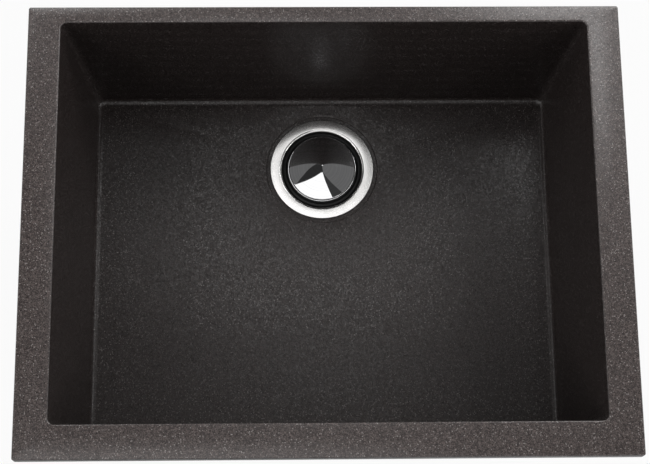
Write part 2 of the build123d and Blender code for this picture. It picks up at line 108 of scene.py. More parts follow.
# Both sides of a bent sheet as one closed outline. The far side's corners are where the runs meet once each
# is moved to its left by the thickness, which tightens a left bend by as much and widens a right one.
def sheetOutline(corners, bends, thickness, edgeR, arcSteps):
    corners = np.array(corners, float)
    runs = np.diff(corners, axis=0)
    runs /= np.linalg.norm(runs, axis=1, keepdims=True)
    sides = np.stack([-runs[:, 1], runs[:, 0]], axis=1)
    before, after = np.concatenate([sides[:1], sides]), np.concatenate([sides, sides[-1:]])
    far = corners + thickness * (before + after) / (1 + (before * after).sum(axis=1, keepdims=True))
    turns = runs[:-1, 0] * runs[1:, 1] - runs[:-1, 1] * runs[1:, 0]
    farBends = np.array(bends) - thickness * np.sign(turns)
    allBends = np.concatenate([[edgeR], bends, [edgeR, edgeR], farBends[::-1], [edgeR]])
    return roundedOutline(np.concatenate([corners, far[::-1]]), allBends, arcSteps)


# An outline with more points on its upright runs at a radius, at most a spacing apart.
def divided(outline, radius, spacing):
    run = np.roll(outline, -1, axis=0) - outline
    upright = (abs(outline[:, 0] - radius) < wallGap) & (abs(outline[:, 0] + run[:, 0] - radius) < wallGap)
    counts = np.where(upright, np.ceil(abs(run[:, 1]) / spacing), 1).astype(int).clip(1)
    owner = np.repeat(np.arange(len(outline)), counts)
    share = (np.arange(len(owner)) - (np.cumsum(counts) - counts)[owner]) / counts[owner]
    return outline[owner] + run[owner] * share[:, None]


# A mesh from a grid of points in millimetres. Rows follow the outline, with the solid on their left, and
# columns turn anticlockwise, so the quads face outwards. Points that meet at a pole or a seam are merged. The
# grid is repeated at each of the places, which are moves to the right and back.
def gridPiece(name, grid, closedRows, places=((0, 0),)):
    rows, columns = grid.shape[:2]
    index = np.arange(rows * columns).reshape(rows, columns)
    index = np.concatenate([index, index[:, :1]], axis=1)
    if closedRows:
        index = np.concatenate([index, index[:1]])
    quads = np.stack([index[:-1, :-1], index[:-1, 1:], index[1:, 1:], index[1:, :-1]], axis=-1).reshape(-1, 4)
    quads = np.concatenate([quads + rows * columns * count for count in range(len(places))])
    moves = np.concatenate([np.array(places, float), np.zeros((len(places), 1))], axis=1)
    points = moves[:, None] + grid.reshape(1, -1, 3)
    mesh = bpy.data.meshes.new(name)
    mesh.vertices.add(rows * columns * len(places))
    mesh.vertices.foreach_set("co", (points * mm).astype(np.float32).ravel())
    mesh.loops.add(quads.size)
    mesh.loops.foreach_set("vertex_index", quads.astype(np.int32).ravel())
    mesh.polygons.add(len(quads))
    mesh.polygons.foreach_set("loop_start", np.arange(0, quads.size, 4, dtype=np.int32))
    mesh.update(calc_edges=True)
    welded = bmesh.new()
    welded.from_mesh(mesh)
    bmesh.ops.remove_doubles(welded, verts=welded.verts, dist=weldGap)
    bmesh.ops.dissolve_degenerate(welded, edges=welded.edges, dist=weldGap)
    welded.to_mesh(mesh)
    welded.free()
    mesh.shade_smooth()
    mesh.set_sharp_from_angle(angle=radians(sharpAngle))
    piece = bpy.data.objects.new(name, mesh)
    bpy.context.scene.collection.objects.link(piece)
    return piece


# An outline turned about the drain's axis: its radius times the angle's cosine and sine, and its height. The
# outline is put in anticlockwise order first, by the sign of the area that it encloses. A swell adds to the
# radius by the outline's point and the angle, for threads, lugs and grooves.
def turned(name, outline, steps, closed=True, swell=None, middle=(0, drainY, flangeTop), places=((0, 0),)):
    ahead = np.roll(outline, -1, axis=0)
    if (outline[:, 0] * ahead[:, 1] - outline[:, 1] * ahead[:, 0]).sum() < 0:
        outline = outline[::-1]
    angles = np.arange(steps) * 2 * pi / steps
    radii, heights = outline[:, :1] + 0 * angles, outline[:, 1:] + 0 * angles
    if swell:
        radii = radii + swell(radii, heights, angles)
    x, y, z = middle
    grid = np.stack([x + radii * np.cos(angles), y + radii * np.sin(angles), z + heights], axis=-1)
    return gridPiece(name, grid, closed, places)


# A right-handed thread's swell: a cosine wave along the height, moved on by one pitch for each turn, that
# dies away over a pitch at both ends. A negative depth cuts into the radius, a positive one adds to it.
def thread(radius, top, foot, pitch, depth):
    def swell(radii, heights, angles):
        ease = np.clip(np.minimum(top - heights, heights - foot) / pitch, 0, 1)
        wave = 0.5 - 0.5 * np.cos(2 * pi * heights / pitch - angles)
        return depth * ease * wave * (abs(radii - radius) < wallGap)

    return swell


# How far each angle is from the nearest of some evenly spaced lugs, in radians.
def fromLug(angles, count):
    pitch = 2 * pi / count
    return abs((angles + pitch / 2) % pitch - pitch / 2)


# A node with its settings. Each value is a constant, or another node's socket that is linked.
def add(tree, kind, values=None, **settings):
    node = tree.nodes.new(kind)
    for key, value in settings.items():
        setattr(node, key, value)
    for key, value in (values or {}).items():
        if isinstance(value, bpy.types.NodeSocket):
            tree.links.new(value, node.inputs[key])
        else:
            node.inputs[key].default_value = value
    return node


def maths(tree, operation, *values):
    return add(tree, "ShaderNodeMath", dict(enumerate(values)), operation=operation).outputs[0]


def newGroup(name, inputs, outputs):
    group = bpy.data.node_groups.new(name, "ShaderNodeTree")
    for label, kind, value in inputs:
        socket = group.interface.new_socket(label, in_out="INPUT", socket_type=kind)
        socket.default_value = value
    for label, kind in outputs:
        group.interface.new_socket(label, in_out="OUTPUT", socket_type=kind)
    return group, group.nodes.new("NodeGroupInput").outputs


def putOut(group, values):
    add(group, "NodeGroupOutput", values)
    return group


grains = {
    "skin": (0.0138, 0.0102, 0.0096), "grain": (0.073, 0.0585, 0.055), "fleck": (0.34, 0.31, 0.3),
    "perMetre": 1150.0, "coarse": 0.65,  # fine grains in a metre, and the coarse ones' share of that
    "shadePower": 2.2, "shadeInSkin": 0.6,  # how uneven the grains' shade is, and its share in the skin
    "groundLift": 0.95,  # how much paler the stone is where it is ground
    "fleckShare": 0.22, "fleckReach": 0.4,  # share of the coarse grains that are flecks, and their reach
    "throughSkin": 0.4,  # how much of a fleck shows through the skin
    "groundAbove": -0.0006, "groundStep": 3000.0,  # metres, and one over the metres that the change takes
    "roughness": (0.33, 0.32), "roughSpread": (0.1, -0.2),  # of skin and ground stone, and each grain's part
    "glint": 0.6, "polish": (0.7, 0.34),  # coat of the skin's grains, and of the ground ones
    "pits": {"Scale": 900.0, "Detail": 3.0, "Roughness": 0.6}, "grainHeight": 0.5, "bump": 0.6,
}


# Crushed quartz in dark resin: grains of mixed brown and grey, with pale flecks among them. Moulding leaves a
# dark skin over the grains. The rim's top face is ground flat, so there the skin is gone and the grains show.
def stoneGroup():
    group, ins = newGroup(
        "stone grains",
        [
            ("Skin", "NodeSocketColor", (*grains["skin"], 1)),
            ("Grain", "NodeSocketColor", (*grains["grain"], 1)),
            ("Fleck", "NodeSocketColor", (*grains["fleck"], 1)),
            ("Grains per metre", "NodeSocketFloat", grains["perMetre"]),
            ("Fleck share", "NodeSocketFloat", grains["fleckShare"]),
            ("Flecks through the skin", "NodeSocketFloat", grains["throughSkin"]),
            ("Glint of the skin", "NodeSocketFloat", grains["glint"]),
            ("Ground above", "NodeSocketFloat", grains["groundAbove"]),
            ("Skin roughness", "NodeSocketFloat", grains["roughness"][0]),
            ("Ground roughness", "NodeSocketFloat", grains["roughness"][1]),
        ],
        [
            ("Color", "NodeSocketColor"), ("Roughness", "NodeSocketFloat"), ("Coat", "NodeSocketFloat"),
            ("Height", "NodeSocketFloat"),
        ],
    )
    place = add(group, "ShaderNodeTexCoord").outputs["Object"]

    def calc(operation, *values):
        return maths(group, operation, *values)

    # A value that goes from that of the skin to that of the ground stone
    def bySurface(ofSkin, ofGround):
        return calc("MULTIPLY_ADD", ground, calc("SUBTRACT", ofGround, ofSkin), ofSkin)

    def cells(scale):
        texture = add(group, "ShaderNodeTexVoronoi", {"Vector": place, "Scale": scale})
        chances = add(group, "ShaderNodeSeparateColor", {"Color": texture.outputs["Color"]})
        return texture.outputs["Distance"], chances.outputs

    height = add(group, "ShaderNodeSeparateXYZ", {0: place}).outputs["Z"]
    above = calc("MULTIPLY", calc("SUBTRACT", height, ins["Ground above"]), grains["groundStep"])
    ground = calc("MINIMUM", calc("MAXIMUM", above, 0.0), 1.0)
    _, fine = cells(ins["Grains per metre"])
    distance, coarse = cells(calc("MULTIPLY", ins["Grains per metre"], grains["coarse"]))

    # Resin and grains, paler where they are ground, with the flecks on top
    shade = calc("POWER", fine["Red"], grains["shadePower"])
    shown = calc("MULTIPLY", shade, bySurface(grains["shadeInSkin"], 1.0))
    bodyValues = {"Factor": shown, "A": ins["Skin"], "B": ins["Grain"]}
    body = add(group, "ShaderNodeMix", bodyValues, data_type="RGBA")
    lift = calc("MULTIPLY_ADD", ground, grains["groundLift"], 1.0)
    lifted = add(group, "ShaderNodeVectorMath", {0: body.outputs["Result"], "Scale": lift}, operation="SCALE")
    picked = calc("LESS_THAN", coarse["Green"], ins["Fleck share"])
    fleck = calc("MULTIPLY", picked, calc("LESS_THAN", distance, grains["fleckReach"]))
    through = bySurface(ins["Flecks through the skin"], 1.0)
    amount = calc("MULTIPLY", calc("MULTIPLY", fleck, coarse["Blue"]), through)
    wholeValues = {"Factor": amount, "A": lifted.outputs[0], "B": ins["Fleck"]}
    whole = add(group, "ShaderNodeMix", wholeValues, data_type="RGBA")

    rougher, smoother = grains["roughSpread"]
    level = calc("ADD", bySurface(ins["Skin roughness"], ins["Ground roughness"]), rougher)
    glint = calc("MULTIPLY", calc("POWER", coarse["Blue"], 2.0), ins["Glint of the skin"])
    polish = calc("MULTIPLY_ADD", fine["Blue"], *grains["polish"])
    pits = add(group, "ShaderNodeTexNoise", {"Vector": place, **grains["pits"]})
    return putOut(group, {
        "Color": whole.outputs["Result"],
        "Roughness": calc("MULTIPLY_ADD", fine["Green"], smoother, level),
        "Coat": bySurface(glint, polish),
        "Height": calc("MULTIPLY_ADD", fine["Red"], grains["grainHeight"], pits.outputs["Fac"]),
    })


marks = {
    "rise": 0.6, "detail": 2.0,  # share of the height that counts as radius, and the octaves of the rings
    "clouds": {"Scale": 90.0, "Detail": 3.0}, "cloudShare": 0.35, "span": (0.4, 0.95), "darkest": 0.86,
}


# Marks left by turning or polishing about the drain's axis: fine rings by radius and height, with a little
# cloudiness that breaks them up.
def ringGroup():
    group, ins = newGroup(
        "turned marks",
        [
            ("Rings per metre", "NodeSocketFloat", 3000.0),
            ("Low roughness", "NodeSocketFloat", 0.15),
            ("High roughness", "NodeSocketFloat", 0.3),
        ],
        [("Roughness", "NodeSocketFloat"), ("Shade", "NodeSocketFloat"), ("Height", "NodeSocketFloat")],
    )
    place = add(group, "ShaderNodeTexCoord").outputs["Object"]
    axis = (0, drainY * mm, 0)
    centred = add(group, "ShaderNodeVectorMath", {0: place, 1: axis}, operation="SUBTRACT")
    parts = add(group, "ShaderNodeSeparateXYZ", {0: centred.outputs[0]}).outputs
    flat = add(group, "ShaderNodeCombineXYZ", {"X": parts["X"], "Y": parts["Y"]})
    radius = add(group, "ShaderNodeVectorMath", {0: flat.outputs[0]}, operation="LENGTH").outputs["Value"]
    line = maths(group, "MULTIPLY_ADD", parts["Z"], marks["rise"], radius)
    count = maths(group, "MULTIPLY", line, ins["Rings per metre"])
    ringValues = {"W": count, "Scale": 1.0, "Detail": marks["detail"]}
    rings = add(group, "ShaderNodeTexNoise", ringValues, noise_dimensions="1D").outputs["Fac"]
    clouds = add(group, "ShaderNodeTexNoise", {"Vector": place, **marks["clouds"]}).outputs["Fac"]
    low, high = marks["span"]
    mixed = maths(group, "MULTIPLY_ADD", clouds, marks["cloudShare"], rings)
    both = {"Value": mixed, "From Min": low, "From Max": high}
    rough = {**both, "To Min": ins["Low roughness"], "To Max": ins["High roughness"]}
    shade = {**both, "To Min": 1.0, "To Max": marks["darkest"]}
    return putOut(group, {
        "Roughness": add(group, "ShaderNodeMapRange", rough).outputs[0],
        "Shade": add(group, "ShaderNodeMapRange", shade).outputs[0],
        "Height": rings,
    })


mottles = {"detail": 5.0, "roughness": 0.6, "span": (0.35, 0.65), "bump": 0.4}


# Mottling for rubber, plastic, fibre and castings: clouds in the colour and roughness, and a fine bumpy skin.
def mottleGroup():
    group, ins = newGroup(
        "mottling",
        [
            ("Color", "NodeSocketColor", (0.5, 0.5, 0.5, 1)),
            ("Dark share", "NodeSocketFloat", 0.75),
            ("Scale", "NodeSocketFloat", 400.0),
            ("Low roughness", "NodeSocketFloat", 0.4),
            ("High roughness", "NodeSocketFloat", 0.6),
        ],
        [("Color", "NodeSocketColor"), ("Roughness", "NodeSocketFloat"), ("Height", "NodeSocketFloat")],
    )
    place = add(group, "ShaderNodeTexCoord").outputs["Object"]
    cloudValues = {
        "Vector": place, "Scale": ins["Scale"],
        "Detail": mottles["detail"], "Roughness": mottles["roughness"],
    }
    clouds = add(group, "ShaderNodeTexNoise", cloudValues).outputs["Fac"]
    low, high = mottles["span"]
    spread = {"Value": clouds, "From Min": low, "From Max": high}
    share = add(group, "ShaderNodeMapRange", {**spread, "To Min": ins["Dark share"], "To Max": 1.0})
    tint = add(group, "ShaderNodeVectorMath", {0: ins["Color"], "Scale": share.outputs[0]}, operation="SCALE")
    rough = {**spread, "To Min": ins["High roughness"], "To Max": ins["Low roughness"]}
    return putOut(group, {
        "Color": tint.outputs[0],
        "Roughness": add(group, "ShaderNodeMapRange", rough).outputs[0],
        "Height": clouds,
    })


stoneGrains, turnedMarks, mottling = stoneGroup(), ringGroup(), mottleGroup()
bumpDepth = 0.0001  # metres


# A material whose roughness and bumps come from an effect's group, with constant values on the shader itself.
def newMaterial(name, group, values, constants, bump):
    material = bpy.data.materials.new(name)
    material.use_nodes = True
    tree = material.node_tree
    shader = tree.nodes["Principled BSDF"]
    for key, value in constants.items():
        shader.inputs[key].default_value = value
    effect = add(tree, "ShaderNodeGroup", values, node_tree=group)
    strength, depth = bump
    bumps = {"Strength": strength, "Distance": depth, "Height": effect.outputs["Height"]}
    tree.links.new(effect.outputs["Roughness"], shader.inputs["Roughness"])
    tree.links.new(add(tree, "ShaderNodeBump", bumps).outputs["Normal"], shader.inputs["Normal"])
    return material, tree, shader, effect


def stone(name):
    constants = {"Specular IOR Level": 0.27, "Coat Roughness": 0.22, "Coat IOR": 1.65}
    bump = (grains["bump"], bumpDepth)
    material, tree, shader, effect = newMaterial(name, stoneGrains, {}, constants, bump)
    tree.links.new(effect.outputs["Color"], shader.inputs["Base Color"])
    tree.links.new(effect.outputs["Coat"], shader.inputs["Coat Weight"])
    return material


def metal(name, color, rings, low, high, bumpStrength):
    values = {"Rings per metre": rings, "Low roughness": low, "High roughness": high}
    bump = (bumpStrength, bumpDepth)
    material, tree, shader, effect = newMaterial(name, turnedMarks, values, {"Metallic": 1.0}, bump)
    tints = {"Factor": effect.outputs["Shade"], "A": (0, 0, 0, 1), "B": (*color, 1)}
    tint = add(tree, "ShaderNodeMix", tints, data_type="RGBA")
    tree.links.new(tint.outputs["Result"], shader.inputs["Base Color"])
    return material


def mottled(name, color, low, high, scale, darkShare, depth=bumpDepth, metallic=0.0, specular=0.5):
    values = {
        "Color": (*color, 1), "Dark share": darkShare, "Scale": scale,
        "Low roughness": low, "High roughness": high,
    }
    constants = {"Metallic": metallic, "Specular IOR Level": specular}
    material, tree, shader, effect = newMaterial(name, mottling, values, constants, (mottles["bump"], depth))
    tree.links.new(effect.outputs["Color"], shader.inputs["Base Color"])
    return material


finishes = {
    "granite_composite": stone("granite composite"),
    "brass": mottled("turned brass", (0.72, 0.5, 0.2), 0.22, 0.38, 700, 0.85, metallic=1.0),
    "satin_stainless": metal("satin stainless", (0.79, 0.78, 0.77), 4000, 0.15, 0.225, 0.01),
    "polished_stainless": metal("polished stainless", (0.8, 0.8, 0.81), 900, 0.012, 0.03, 0.0),
    "cast_zinc": mottled("cast zinc", (0.42, 0.42, 0.43), 0.38, 0.55, 600, 0.8, metallic=1.0),
    "black_rubber": mottled("black rubber", (0.006, 0.006, 0.006), 0.3, 0.45, 500, 0.7, specular=0.3),
    "grey_rubber": mottled("grey rubber", (0.14, 0.14, 0.14), 0.6, 0.8, 500, 0.8),
    "fibre": mottled("pressed fibre", (0.36, 0.25, 0.16), 0.75, 0.95, 900, 0.6, depth=0.0002),
    "black_plastic": mottled("black plastic", (0.02, 0.02, 0.02), 0.35, 0.5, 300, 0.8),
    "white_plastic": mottled("white plastic", (0.8, 0.8, 0.77), 0.35, 0.5, 300, 0.93),
}
slotOf = {part["node"]: part["material_slot"] for part in frame["record"]["subparts"]}
for nodeName, node in nodes.items():
    node.data.materials.clear()
    node.data.materials.append(finishes[slotOf[nodeName]])
print("materials:", len(finishes))


def fit(piece, nodeName, body):
    piece.data.materials.clear()
    piece.data.materials.append(finishes[slotOf[nodeName]])
    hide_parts(nodeName)
    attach(piece, body)
    print("made", piece.name, len(piece.data.polygons), "faces")


bowl = {
    "rim": (600.0, 460.0, 12.0), "rimCornerR": 2.2, "rimEdgeR": 1.2, "footEdgeR": 0.5,
    "ledges": (33.0, 34.0, 17.0),  # sides, front, back
    "depth": 190.0, "drafts": (5.0, 4.0),  # degrees, of the sides and of the front and back
    "mouthCornerR": 6.0, "mouthEdgeR": 2.0, "floorCornerR": 9.0, "floorFilletR": 7.0,
    "wall": 9.0, "floorWall": 9.0, "ledgeFilletR": 4.0, "outerCornerR": (19.0, 23.0), "footR": 16.5,
    "fall": 2.5, "recess": (61.5, 1.5), "recessBends": (1.0, 0.4),
    "holeR": 45.0, "holeBends": (1.5, 0.4), "boss": (64.0, 203.0), "bossBends": (0.6, 2.0),
    "insert": (4.5, 8.0), "insertPitches": (240.0, 360.0), "insertSteps": 48,
    "sideSteps": 110, "cornerSteps": 10, "bendSteps": 5, "sharpAngle": 35,
    "edgeShare": 0.93,  # of an edge's arc in height, which its own rows take before the wall's rows begin
    "rows": {
        "mouth": 9, "inside": 14, "fillet": 17, "floor": 9, "under": 8, "foot": 13, "outside": 12, "ledge": 9,
    },
    "edgeSteps": 6, "lead": 0.5,  # straight run before a line's first bend or past its last
}
rimLength, rimWidth, rimThickness = bowl["rim"]
sideLedge, frontLedge, backLedge = bowl["ledges"]
mouthX, mouthY = rimLength / 2 - sideLedge, (rimWidth - frontLedge - backLedge) / 2
mouthMiddleY = (frontLedge - backLedge) / 2
underZ = -bowl["depth"] - bowl["floorWall"]


# Middles of the brass inserts, halfway across their ledges: two at each side and two in front.
def insertPlaces():
    sidePitch, frontPitch = bowl["insertPitches"]
    sideX = rimLength / 2 - (sideLedge - bowl["wall"]) / 2
    frontY = -rimWidth / 2 + (frontLedge - bowl["wall"]) / 2
    places = [(signX * sideX, signY * sidePitch / 2) for signX in (-1, 1) for signY in (-1, 1)]
    return places + [(signX * frontPitch / 2, frontY) for signX in (-1, 1)]


# Rounded rectangles, one for each row, with the same number of points in each corner and side, so that rows
# of unlike size match. A corner's points turn evenly about its centre, and a side's are evenly spaced.
def rectangles(halfX, halfY, cornerR, middleY=0.0):
    values = map(np.atleast_1d, (halfX, halfY, cornerR, middleY))
    halfX, halfY, cornerR, middleY = np.broadcast_arrays(*values)
    angles = np.linspace(0, pi / 2, bowl["cornerSteps"] + 1) + np.arange(4)[:, None] * pi / 2
    signX, signY = np.array([1, -1, -1, 1]), np.array([1, 1, -1, -1])
    centresX = signX * (halfX - cornerR)[:, None]
    centresY = signY * (halfY - cornerR)[:, None] + middleY[:, None]
    centres = np.stack([centresX, centresY], axis=-1)
    turns = np.stack([np.cos(angles), np.sin(angles)], axis=-1)
    arcs = centres[:, :, None] + cornerR[:, None, None, None] * turns
    ahead = np.roll(arcs[:, :, 0], -1, axis=1)
    share = np.linspace(0, 1, bowl["sideSteps"] + 1)[1:-1, None]
    sides = arcs[:, :, -1:] + (ahead - arcs[:, :, -1])[:, :, None] * share
    return np.concatenate([arcs, sides], axis=2).reshape(len(halfX), -1, 2)


# Rows of points at their heights.
def levels(outlines, z):
    heights = np.broadcast_to(np.reshape(z, (-1, 1, 1)), (*outlines.shape[:2], 1))
    return np.concatenate([outlines, heights], axis=-1)


# Half the bowl's inside at heights z: the drafted wall's line, widened by the rounded mouth's arc at the top
# and narrowed by the floor fillet's arc at the bottom.
def insideHalf(z, mouthHalf, draft):
    slope, mouthR, filletR = radians(draft), bowl["mouthEdgeR"], bowl["floorFilletR"]
    line = mouthHalf + z * tan(slope)
    mouthMiddle = mouthHalf + mouthR * tan((pi / 2 - slope) / 2)
    mouth = mouthMiddle - np.sqrt(np.clip(mouthR**2 - (z + mouthR) ** 2, 0, None))
    filletZ = filletR - bowl["depth"]
    touchZ = filletZ - filletR * sin(slope)
    filletMiddle = mouthHalf + touchZ * tan(slope) - filletR * cos(slope)
    fillet = filletMiddle + np.sqrt(np.clip(filletR**2 - (z - filletZ) ** 2, 0, None))
    return np.where(z > -mouthR + mouthR * sin(slope), mouth, np.where(z < touchZ, fillet, line)), line


# Half the casting's outside at heights z, with the fillet under the ledge and the rounded foot.
def outsideHalf(z, mouthHalf, draft):
    slope, ledgeR, footR = radians(draft), bowl["ledgeFilletR"], bowl["footR"]
    line = mouthHalf + bowl["wall"] + z * tan(slope)
    ledgeZ = -rimThickness - ledgeR
    ledgeTouch = ledgeZ - ledgeR * sin(slope)
    ledgeMiddle = mouthHalf + bowl["wall"] + ledgeTouch * tan(slope) + ledgeR * cos(slope)
    ledge = ledgeMiddle - np.sqrt(np.clip(ledgeR**2 - (z - ledgeZ) ** 2, 0, None))
    footZ = underZ + footR
    footTouch = footZ - footR * sin(slope)
    footMiddle = mouthHalf + bowl["wall"] + footTouch * tan(slope) - footR * cos(slope)
    foot = footMiddle + np.sqrt(np.clip(footR**2 - (z - footZ) ** 2, 0, None))
    return np.where(z > ledgeTouch, ledge, np.where(z < footTouch, foot, line)), line


# Heights down an arc of a quarter turn, as shares of its radius: close together where the arc lies flat.
def arcDrops(rows):
    return 1 - np.cos(np.linspace(0, 1, rows) * pi / 2)


# Mouth, wall and floor fillet. A corner's radius grows downwards, and follows the edges in and out.
def insideRows():
    depth, filletR, rows = bowl["depth"], bowl["floorFilletR"], bowl["rows"]
    mouthZ = -bowl["mouthEdgeR"] * arcDrops(rows["mouth"]) * bowl["edgeShare"]
    wallZ = np.linspace(mouthZ[-1], -depth + filletR, rows["inside"])[1:-1]
    filletZ = -depth + filletR * (1 - np.sin(np.linspace(0, 1, rows["fillet"]) * pi / 2))
    z = np.concatenate([mouthZ, wallZ, filletZ])
    inX, lineX = insideHalf(z, mouthX, bowl["drafts"][0])
    inY, lineY = insideHalf(z, mouthY, bowl["drafts"][1])
    lineR = bowl["mouthCornerR"] + (bowl["floorCornerR"] - bowl["mouthCornerR"]) * -z / depth
    return levels(rectangles(inX, inY, lineR + (inX - lineX + inY - lineY) / 2, mouthMiddleY), z)


# Floor, falling from a rounded rectangle inside the fillet to the recess round the drain, then the recess,
# the hole and the boss below. Seen from the drain, a circle's points lie in the rectangle's directions.
def floorRows():
    depth, inset = bowl["depth"], bowl["floorFilletR"]
    floorX, floorY = (
        half - depth * tan(radians(draft)) - inset for half, draft in zip((mouthX, mouthY), bowl["drafts"])
    )
    start = rectangles(floorX, floorY, bowl["floorCornerR"] - inset, mouthMiddleY)[0]
    drain = np.array([0, drainY])
    direction = (start - drain) / np.linalg.norm(start - drain, axis=1, keepdims=True)
    recessR, recessDepth = bowl["recess"]
    landZ = -depth - bowl["fall"]
    share = np.linspace(0, 1, bowl["rows"]["floor"])[:-1, None, None]
    slope = levels(start + (drain + recessR * direction - start) * share, -depth + (landZ + depth) * share)
    holeR, (bossR, bossDepth), seatZ = bowl["holeR"], bowl["boss"], landZ - recessDepth
    bends = [*bowl["recessBends"], *bowl["holeBends"], *bowl["bossBends"]]
    corners = [
        (recessR + bowl["lead"], landZ), (recessR, landZ), (recessR, seatZ), (holeR, seatZ),
        (holeR, -bossDepth), (bossR, -bossDepth), (bossR, underZ), (bossR + bends[-1] + bowl["lead"], underZ),
    ]
    outline = bentLine(corners, bends, bowl["bendSteps"])[1:]
    circles = drain + outline[:, :1, None] * direction
    return np.concatenate([slope, levels(circles, outline[:, 1])])


# Foot, outer wall and the fillet under the ledge, after the flat underside that leads out to them.
def outsideRows(last):
    ledgeR, rows = bowl["ledgeFilletR"], bowl["rows"]
    footZ = underZ + bowl["footR"] * arcDrops(rows["foot"]) * bowl["edgeShare"]
    wallZ = np.linspace(footZ[-1], -rimThickness - ledgeR, rows["outside"])[1:-1]
    ledgeZ = -rimThickness - ledgeR + ledgeR * np.sin(np.linspace(0, 1, rows["ledge"]) * pi / 2)
    z = np.concatenate([footZ, wallZ, ledgeZ])
    outX, lineX = outsideHalf(z, mouthX, bowl["drafts"][0])
    outY, lineY = outsideHalf(z, mouthY, bowl["drafts"][1])
    upperR, lowerR = bowl["outerCornerR"]
    lineR = upperR + (lowerR - upperR) * ((-z - rimThickness) / (-underZ - rimThickness))
    outline = rectangles(outX, outY, lineR + (outX - lineX + outY - lineY) / 2, mouthMiddleY)
    share = np.linspace(0, 1, rows["under"])[1:-1, None, None]
    under = last + (outline[0] - last) * share
    return np.concatenate([levels(under, underZ), levels(outline, z)])


# Rim's edge, up from the ledge's underside to the flat top.
def rimRows():
    edgeR, footEdgeR, endX = bowl["rimEdgeR"], bowl["footEdgeR"], rimLength / 2
    startX = endX - footEdgeR - bowl["lead"]
    corners = [(startX, -rimThickness), (endX, -rimThickness), (endX, 0), (endX - edgeR, 0)]
    edge = bentLine(corners, [footEdgeR, edgeR], bowl["edgeSteps"])[1:-1]
    grow = edge[:, 0] - endX
    return levels(rectangles(endX + grow, rimWidth / 2 + grow, bowl["rimCornerR"] + grow), edge[:, 1])


# Pockets for the brass inserts, cut into the ledge's underside.
def cutPockets(piece):
    radius, depth = bowl["insert"]
    cutter = bmesh.new()
    for x, y in insertPlaces():
        bmesh.ops.create_cone(
            cutter, cap_ends=True, segments=bowl["insertSteps"], radius1=radius * mm, radius2=radius * mm,
            depth=2 * depth * mm, matrix=Matrix.Translation((x * mm, y * mm, -rimThickness * mm)),
        )
    cutterMesh = bpy.data.meshes.new("pockets")
    cutter.to_mesh(cutterMesh)
    cutter.free()
    pockets = bpy.data.objects.new("pockets", cutterMesh)
    bpy.context.scene.collection.objects.link(pockets)
    cut = piece.modifiers.new("pockets", "BOOLEAN")
    cut.operation, cut.object, cut.solver = "DIFFERENCE", pockets, "EXACT"
    whole = bpy.data.meshes.new_from_object(piece.evaluated_get(bpy.context.evaluated_depsgraph_get()))
    piece.modifiers.clear()
    piece.data = whole
    whole.name = piece.name
    bpy.data.objects.remove(pockets)
    whole.shade_smooth()
    whole.set_sharp_from_angle(angle=radians(bowl["sharpAngle"]))


# Bowl: one closed run of rows, from the rim's top down the inside, across the floor, through the drain's hole
# and back up the outside.
def bowlPiece():
    edgeR = bowl["rimEdgeR"]
    top = rectangles(rimLength / 2 - edgeR, rimWidth / 2 - edgeR, bowl["rimCornerR"] - edgeR)
    rows = [levels(top, 0), insideRows(), floorRows()]
    rows += [outsideRows(rows[-1][-1, :, :2]), rimRows()]
    piece = gridPiece("graniteBowl", np.concatenate(rows), True)
    cutPockets(piece)
    return piece


fit(bowlPiece(), "sink_bowl", "root")

strainer = {
    "sheet": 0.9, "edgeR": 0.3, "steps": 200, "arcSteps": 10, "rowGap": 0.25,
    "corners": [
        (57.15, 0), (43.5, 0), (43.5, -6.4), (41.5, -6.4), (41.5, -29), (38, -44), (22.6, -49), (22.6, -70),
    ],
    "bends": [4.0, 0.6, 1.2, 6.0, 6.0, 6.0],
    # Radius, top, foot, pitch and depth of each thread
    "threads": [(42.4, -11.5, -28.5, 2.0, -0.35), (23.5, -52.5, -70.0, 2.0, -0.35)],
}


# Strainer: a bent sheet from the flange down to the outlet, with threads cut into the neck and the spigot.
def strainerPiece():
    outline = sheetOutline(
        strainer["corners"], strainer["bends"], strainer["sheet"], strainer["edgeR"], strainer["arcSteps"]
    )
    swells = [thread(*values) for values in strainer["threads"]]
    for radius, *_ in strainer["threads"]:
        outline = divided(outline, radius, strainer["rowGap"])

    def cut(radii, heights, angles):
        return sum(swell(radii, heights, angles) for swell in swells)

    return turned("strainerBody", outline, strainer["steps"], swell=cut)


fit(strainerPiece(), "strainer_body", "root")

cap = {
    "radius": 37.7, "sheet": 1.0, "rise": 0.3, "apexR": 2.0, "padR": 8.1,
    "slopes": (9.5, 23.0), "rollR": 2.7, "rollEnd": 74.0,  # degrees at the dome's ends and the roll's end
    "lipWidth": 0.75, "lipEdgeR": 0.2, "lipStep": (0.1, 0.25), "skirt": 1.1, "skirtChamfer": 0.15,
    "steps": 360, "domeSteps": 60, "rollSteps": 14, "lipSteps": 5, "underSteps": 30,
}


